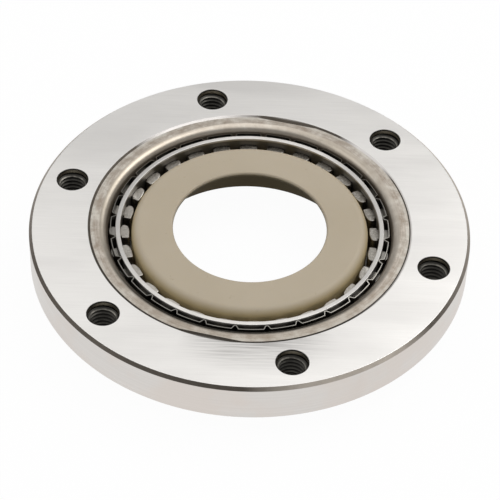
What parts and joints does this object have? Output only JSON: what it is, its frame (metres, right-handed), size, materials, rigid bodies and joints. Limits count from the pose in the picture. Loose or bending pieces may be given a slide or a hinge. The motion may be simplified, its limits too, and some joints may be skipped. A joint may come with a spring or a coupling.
{
  "type": "sprag clutch",
  "caption": "Flanged one-way sprag clutch with tapped bolt holes, a caged ring of tilting sprags and a plastic transport insert in place of the inner race.",
  "frame": {"origin": "centre of the bottom face, on the clutch axis; the part lies with its open side up", "axes": "+Z along the clutch axis, out of the open side; +X through the first tapped hole"},
  "size_m": [0.115, 0.115, 0.016],
  "materials": {
    "ground_steel": "ground faces, dark heat-treated chamfers and holes",
    "cage_steel": "satin",
    "spring_steel": "rolled",
    "sprag_steel": "tumbled",
    "tan_nylon": "moulded"
  },
  "bodies": {
    "outer_race": {"outer_race": "ground_steel"},
    "cage": {"sprag_cage": "cage_steel", "meander_spring": "spring_steel"},
    "insert": {"inner_race_insert": "tan_nylon"},
    "sprag_01": {"sprag_01": "sprag_steel"},
    "sprag_02": {"sprag_02": "sprag_steel"},
    "sprag_03": {"sprag_03": "sprag_steel"},
    "sprag_04": {"sprag_04": "sprag_steel"},
    "sprag_05": {"sprag_05": "sprag_steel"},
    "sprag_06": {"sprag_06": "sprag_steel"},
    "sprag_07": {"sprag_07": "sprag_steel"},
    "sprag_08": {"sprag_08": "sprag_steel"},
    "sprag_09": {"sprag_09": "sprag_steel"},
    "sprag_10": {"sprag_10": "sprag_steel"},
    "sprag_11": {"sprag_11": "sprag_steel"},
    "sprag_12": {"sprag_12": "sprag_steel"},
    "sprag_13": {"sprag_13": "sprag_steel"},
    "sprag_14": {"sprag_14": "sprag_steel"},
    "sprag_15": {"sprag_15": "sprag_steel"},
    "sprag_16": {"sprag_16": "sprag_steel"},
    "sprag_17": {"sprag_17": "sprag_steel"},
    "sprag_18": {"sprag_18": "sprag_steel"},
    "sprag_19": {"sprag_19": "sprag_steel"},
    "sprag_20": {"sprag_20": "sprag_steel"},
    "sprag_21": {"sprag_21": "sprag_steel"},
    "sprag_22": {"sprag_22": "sprag_steel"},
    "sprag_23": {"sprag_23": "sprag_steel"},
    "sprag_24": {"sprag_24": "sprag_steel"},
    "sprag_25": {"sprag_25": "sprag_steel"},
    "sprag_26": {"sprag_26": "sprag_steel"},
    "sprag_27": {"sprag_27": "sprag_steel"},
    "sprag_28": {"sprag_28": "sprag_steel"}
  },
  "joints": [
    {"name": "cage_turn", "type": "hinge", "parent": "outer_race", "child": "cage", "pos_m": [0, 0, 0.00825], "axis": [0, 0, 1], "continuous": true},
    {"name": "insert_spin", "type": "hinge", "parent": "outer_race", "child": "insert", "pos_m": [0, 0, 0.00825], "axis": [0, 0, 1], "continuous": true},
    {"name": "sprag_01_tilt", "type": "hinge", "parent": "cage", "child": "sprag_01", "pos_m": [0.03431, 0.00333, 0.00825], "axis": [0, 0, -1], "range_deg": [0, 5], "stiffness_Nm_per_rad": 0.001, "springref_deg": -5.73},
    {"name": "sprag_02_tilt", "type": "hinge", "parent": "cage", "child": "sprag_02", "pos_m": [0.03271, 0.01088, 0.00825], "axis": [0, 0, -1], "range_deg": [0, 5], "stiffness_Nm_per_rad": 0.001, "springref_deg": -5.73},
    {"name": "sprag_03_tilt", "type": "hinge", "parent": "cage", "child": "sprag_03", "pos_m": [0.02947, 0.01789, 0.00825], "axis": [0, 0, -1], "range_deg": [0, 5], "stiffness_Nm_per_rad": 0.001, "springref_deg": -5.73},
    {"name": "sprag_04_tilt", "type": "hinge", "parent": "cage", "child": "sprag_04", "pos_m": [0.02475, 0.024, 0.00825], "axis": [0, 0, -1], "range_deg": [0, 5], "stiffness_Nm_per_rad": 0.001, "springref_deg": -5.73},
    {"name": "sprag_05_tilt", "type": "hinge", "parent": "cage", "child": "sprag_05", "pos_m": [0.01879, 0.0289, 0.00825], "axis": [0, 0, -1], "range_deg": [0, 5], "stiffness_Nm_per_rad": 0.001, "springref_deg": -5.73},
    {"name": "sprag_06_tilt", "type": "hinge", "parent": "cage", "child": "sprag_06", "pos_m": [0.01189, 0.03236, 0.00825], "axis": [0, 0, -1], "range_deg": [0, 5], "stiffness_Nm_per_rad": 0.001, "springref_deg": -5.73},
    {"name": "sprag_07_tilt", "type": "hinge", "parent": "cage", "child": "sprag_07", "pos_m": [0.00439, 0.03419, 0.00825], "axis": [0, 0, -1], "range_deg": [0, 5], "stiffness_Nm_per_rad": 0.001, "springref_deg": -5.73},
    {"name": "sprag_08_tilt", "type": "hinge", "parent": "cage", "child": "sprag_08", "pos_m": [-0.00333, 0.03431, 0.00825], "axis": [0, 0, -1], "range_deg": [0, 5], "stiffness_Nm_per_rad": 0.001, "springref_deg": -5.73},
    {"name": "sprag_09_tilt", "type": "hinge", "parent": "cage", "child": "sprag_09", "pos_m": [-0.01088, 0.03271, 0.00825], "axis": [0, 0, -1], "range_deg": [0, 5], "stiffness_Nm_per_rad": 0.001, "springref_deg": -5.73},
    {"name": "sprag_10_tilt", "type": "hinge", "parent": "cage", "child": "sprag_10", "pos_m": [-0.01789, 0.02947, 0.00825], "axis": [0, 0, -1], "range_deg": [0, 5], "stiffness_Nm_per_rad": 0.001, "springref_deg": -5.73},
    {"name": "sprag_11_tilt", "type": "hinge", "parent": "cage", "child": "sprag_11", "pos_m": [-0.024, 0.02475, 0.00825], "axis": [0, 0, -1], "range_deg": [0, 5], "stiffness_Nm_per_rad": 0.001, "springref_deg": -5.73},
    {"name": "sprag_12_tilt", "type": "hinge", "parent": "cage", "child": "sprag_12", "pos_m": [-0.0289, 0.01879, 0.00825], "axis": [0, 0, -1], "range_deg": [0, 5], "stiffness_Nm_per_rad": 0.001, "springref_deg": -5.73},
    {"name": "sprag_13_tilt", "type": "hinge", "parent": "cage", "child": "sprag_13", "pos_m": [-0.03236, 0.01189, 0.00825], "axis": [0, 0, -1], "range_deg": [0, 5], "stiffness_Nm_per_rad": 0.001, "springref_deg": -5.73},
    {"name": "sprag_14_tilt", "type": "hinge", "parent": "cage", "child": "sprag_14", "pos_m": [-0.03419, 0.00439, 0.00825], "axis": [0, 0, -1], "range_deg": [0, 5], "stiffness_Nm_per_rad": 0.001, "springref_deg": -5.73},
    {"name": "sprag_15_tilt", "type": "hinge", "parent": "cage", "child": "sprag_15", "pos_m": [-0.03431, -0.00333, 0.00825], "axis": [0, 0, -1], "range_deg": [0, 5], "stiffness_Nm_per_rad": 0.001, "springref_deg": -5.73},
    {"name": "sprag_16_tilt", "type": "hinge", "parent": "cage", "child": "sprag_16", "pos_m": [-0.03271, -0.01088, 0.00825], "axis": [0, 0, -1], "range_deg": [0, 5], "stiffness_Nm_per_rad": 0.001, "springref_deg": -5.73},
    {"name": "sprag_17_tilt", "type": "hinge", "parent": "cage", "child": "sprag_17", "pos_m": [-0.02947, -0.01789, 0.00825], "axis": [0, 0, -1], "range_deg": [0, 5], "stiffness_Nm_per_rad": 0.001, "springref_deg": -5.73},
    {"name": "sprag_18_tilt", "type": "hinge", "parent": "cage", "child": "sprag_18", "pos_m": [-0.02475, -0.024, 0.00825], "axis": [0, 0, -1], "range_deg": [0, 5], "stiffness_Nm_per_rad": 0.001, "springref_deg": -5.73},
    {"name": "sprag_19_tilt", "type": "hinge", "parent": "cage", "child": "sprag_19", "pos_m": [-0.01879, -0.0289, 0.00825], "axis": [0, 0, -1], "range_deg": [0, 5], "stiffness_Nm_per_rad": 0.001, "springref_deg": -5.73},
    {"name": "sprag_20_tilt", "type": "hinge", "parent": "cage", "child": "sprag_20", "pos_m": [-0.01189, -0.03236, 0.00825], "axis": [0, 0, -1], "range_deg": [0, 5], "stiffness_Nm_per_rad": 0.001, "springref_deg": -5.73},
    {"name": "sprag_21_tilt", "type": "hinge", "parent": "cage", "child": "sprag_21", "pos_m": [-0.00439, -0.03419, 0.00825], "axis": [0, 0, -1], "range_deg": [0, 5], "stiffness_Nm_per_rad": 0.001, "springref_deg": -5.73},
    {"name": "sprag_22_tilt", "type": "hinge", "parent": "cage", "child": "sprag_22", "pos_m": [0.00333, -0.03431, 0.00825], "axis": [0, 0, -1], "range_deg": [0, 5], "stiffness_Nm_per_rad": 0.001, "springref_deg": -5.73},
    {"name": "sprag_23_tilt", "type": "hinge", "parent": "cage", "child": "sprag_23", "pos_m": [0.01088, -0.03271, 0.00825], "axis": [0, 0, -1], "range_deg": [0, 5], "stiffness_Nm_per_rad": 0.001, "springref_deg": -5.73},
    {"name": "sprag_24_tilt", "type": "hinge", "parent": "cage", "child": "sprag_24", "pos_m": [0.01789, -0.02947, 0.00825], "axis": [0, 0, -1], "range_deg": [0, 5], "stiffness_Nm_per_rad": 0.001, "springref_deg": -5.73},
    {"name": "sprag_25_tilt", "type": "hinge", "parent": "cage", "child": "sprag_25", "pos_m": [0.024, -0.02475, 0.00825], "axis": [0, 0, -1], "range_deg": [0, 5], "stiffness_Nm_per_rad": 0.001, "springref_deg": -5.73},
    {"name": "sprag_26_tilt", "type": "hinge", "parent": "cage", "child": "sprag_26", "pos_m": [0.0289, -0.01879, 0.00825], "axis": [0, 0, -1], "range_deg": [0, 5], "stiffness_Nm_per_rad": 0.001, "springref_deg": -5.73},
    {"name": "sprag_27_tilt", "type": "hinge", "parent": "cage", "child": "sprag_27", "pos_m": [0.03236, -0.01189, 0.00825], "axis": [0, 0, -1], "range_deg": [0, 5], "stiffness_Nm_per_rad": 0.001, "springref_deg": -5.73},
    {"name": "sprag_28_tilt", "type": "hinge", "parent": "cage", "child": "sprag_28", "pos_m": [0.03419, -0.00439, 0.00825], "axis": [0, 0, -1], "range_deg": [0, 5], "stiffness_Nm_per_rad": 0.001, "springref_deg": -5.73}
  ],
  "couplings": [
    {"joint": "sprag_02_tilt", "follows": "sprag_01_tilt", "ratio": 1},
    {"joint": "sprag_03_tilt", "follows": "sprag_01_tilt", "ratio": 1},
    {"joint": "sprag_04_tilt", "follows": "sprag_01_tilt", "ratio": 1},
    {"joint": "sprag_05_tilt", "follows": "sprag_01_tilt", "ratio": 1},
    {"joint": "sprag_06_tilt", "follows": "sprag_01_tilt", "ratio": 1},
    {"joint": "sprag_07_tilt", "follows": "sprag_01_tilt", "ratio": 1},
    {"joint": "sprag_08_tilt", "follows": "sprag_01_tilt", "ratio": 1},
    {"joint": "sprag_09_tilt", "follows": "sprag_01_tilt", "ratio": 1},
    {"joint": "sprag_10_tilt", "follows": "sprag_01_tilt", "ratio": 1},
    {"joint": "sprag_11_tilt", "follows": "sprag_01_tilt", "ratio": 1},
    {"joint": "sprag_12_tilt", "follows": "sprag_01_tilt", "ratio": 1},
    {"joint": "sprag_13_tilt", "follows": "sprag_01_tilt", "ratio": 1},
    {"joint": "sprag_14_tilt", "follows": "sprag_01_tilt", "ratio": 1},
    {"joint": "sprag_15_tilt", "follows": "sprag_01_tilt", "ratio": 1},
    {"joint": "sprag_16_tilt", "follows": "sprag_01_tilt", "ratio": 1},
    {"joint": "sprag_17_tilt", "follows": "sprag_01_tilt", "ratio": 1},
    {"joint": "sprag_18_tilt", "follows": "sprag_01_tilt", "ratio": 1},
    {"joint": "sprag_19_tilt", "follows": "sprag_01_tilt", "ratio": 1},
    {"joint": "sprag_20_tilt", "follows": "sprag_01_tilt", "ratio": 1},
    {"joint": "sprag_21_tilt", "follows": "sprag_01_tilt", "ratio": 1},
    {"joint": "sprag_22_tilt", "follows": "sprag_01_tilt", "ratio": 1},
    {"joint": "sprag_23_tilt", "follows": "sprag_01_tilt", "ratio": 1},
    {"joint": "sprag_24_tilt", "follows": "sprag_01_tilt", "ratio": 1},
    {"joint": "sprag_25_tilt", "follows": "sprag_01_tilt", "ratio": 1},
    {"joint": "sprag_26_tilt", "follows": "sprag_01_tilt", "ratio": 1},
    {"joint": "sprag_27_tilt", "follows": "sprag_01_tilt", "ratio": 1},
    {"joint": "sprag_28_tilt", "follows": "sprag_01_tilt", "ratio": 1}
  ]
}
